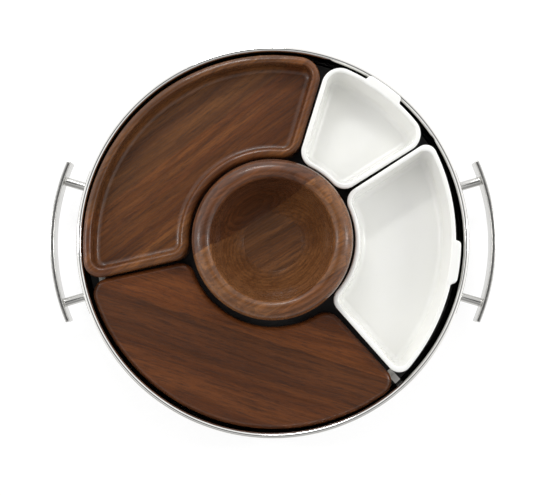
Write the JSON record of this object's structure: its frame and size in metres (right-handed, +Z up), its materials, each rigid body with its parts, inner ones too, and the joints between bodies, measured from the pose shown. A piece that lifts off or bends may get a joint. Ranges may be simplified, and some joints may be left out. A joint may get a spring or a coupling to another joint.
{
  "type": "chip and dip server",
  "caption": "Round steel serving tray with two bar handles, holding a carved wood tray, a wood board, two porcelain dishes and a turned wood dip bowl that all lift out.",
  "frame": {"origin": "on the table under the centre of the round tray", "axes": "+Z up, +X from the tray's centre to the right handle, +Y away from the front"},
  "size_m": [0.434, 0.3812, 0.082],
  "materials": {
    "steel": "satin",
    "black_floor": "satin",
    "clip_steel": "satin",
    "foot_rubber": "matte",
    "screw_steel": "satin",
    "tray_walnut": "satin",
    "board_walnut": "satin",
    "bowl_walnut": "satin",
    "porcelain": "gloss"
  },
  "bodies": {
    "serving_tray": {"wall_band": "steel", "left_handle_bar": "steel", "right_handle_bar": "steel", "left_rear_handle_post": "steel", "left_front_handle_post": "steel", "right_rear_handle_post": "steel", "right_front_handle_post": "steel", "floor_panel": "black_floor", "floor_clip_1": "clip_steel", "floor_clip_2": "clip_steel", "rubber_foot_1": "foot_rubber", "rubber_foot_2": "foot_rubber", "rubber_foot_3": "foot_rubber", "rubber_foot_4": "foot_rubber", "foot_screws": "screw_steel"},
    "wood_tray": {"tray_plank_inner_left": "tray_walnut", "tray_plank_inner_right": "tray_walnut", "tray_plank_middle": "tray_walnut", "tray_plank_outer": "tray_walnut"},
    "wood_board": {"board_plank_rear": "board_walnut", "board_plank_middle": "board_walnut", "board_plank_front": "board_walnut"},
    "large_porcelain_dish": {"large_dish": "porcelain"},
    "small_porcelain_dish": {"small_dish": "porcelain"},
    "dip_bowl": {"bowl_plank_rear": "bowl_walnut", "bowl_plank_middle_left": "bowl_walnut", "bowl_plank_middle_right": "bowl_walnut", "bowl_plank_front": "bowl_walnut"}
  },
  "joints": [
    {"name": "wood_tray_lift", "type": "slide", "parent": "serving_tray", "child": "wood_tray", "axis": [0, 0, 1], "range_m": [0, 0.07]},
    {"name": "wood_board_lift", "type": "slide", "parent": "serving_tray", "child": "wood_board", "axis": [0, 0, 1], "range_m": [0, 0.07]},
    {"name": "large_porcelain_dish_lift", "type": "slide", "parent": "serving_tray", "child": "large_porcelain_dish", "axis": [0, 0, 1], "range_m": [0, 0.07]},
    {"name": "small_porcelain_dish_lift", "type": "slide", "parent": "serving_tray", "child": "small_porcelain_dish", "axis": [0, 0, 1], "range_m": [0, 0.07]},
    {"name": "dip_bowl_lift", "type": "slide", "parent": "serving_tray", "child": "dip_bowl", "axis": [0, 0, 1], "range_m": [0, 0.07]}
  ]
}
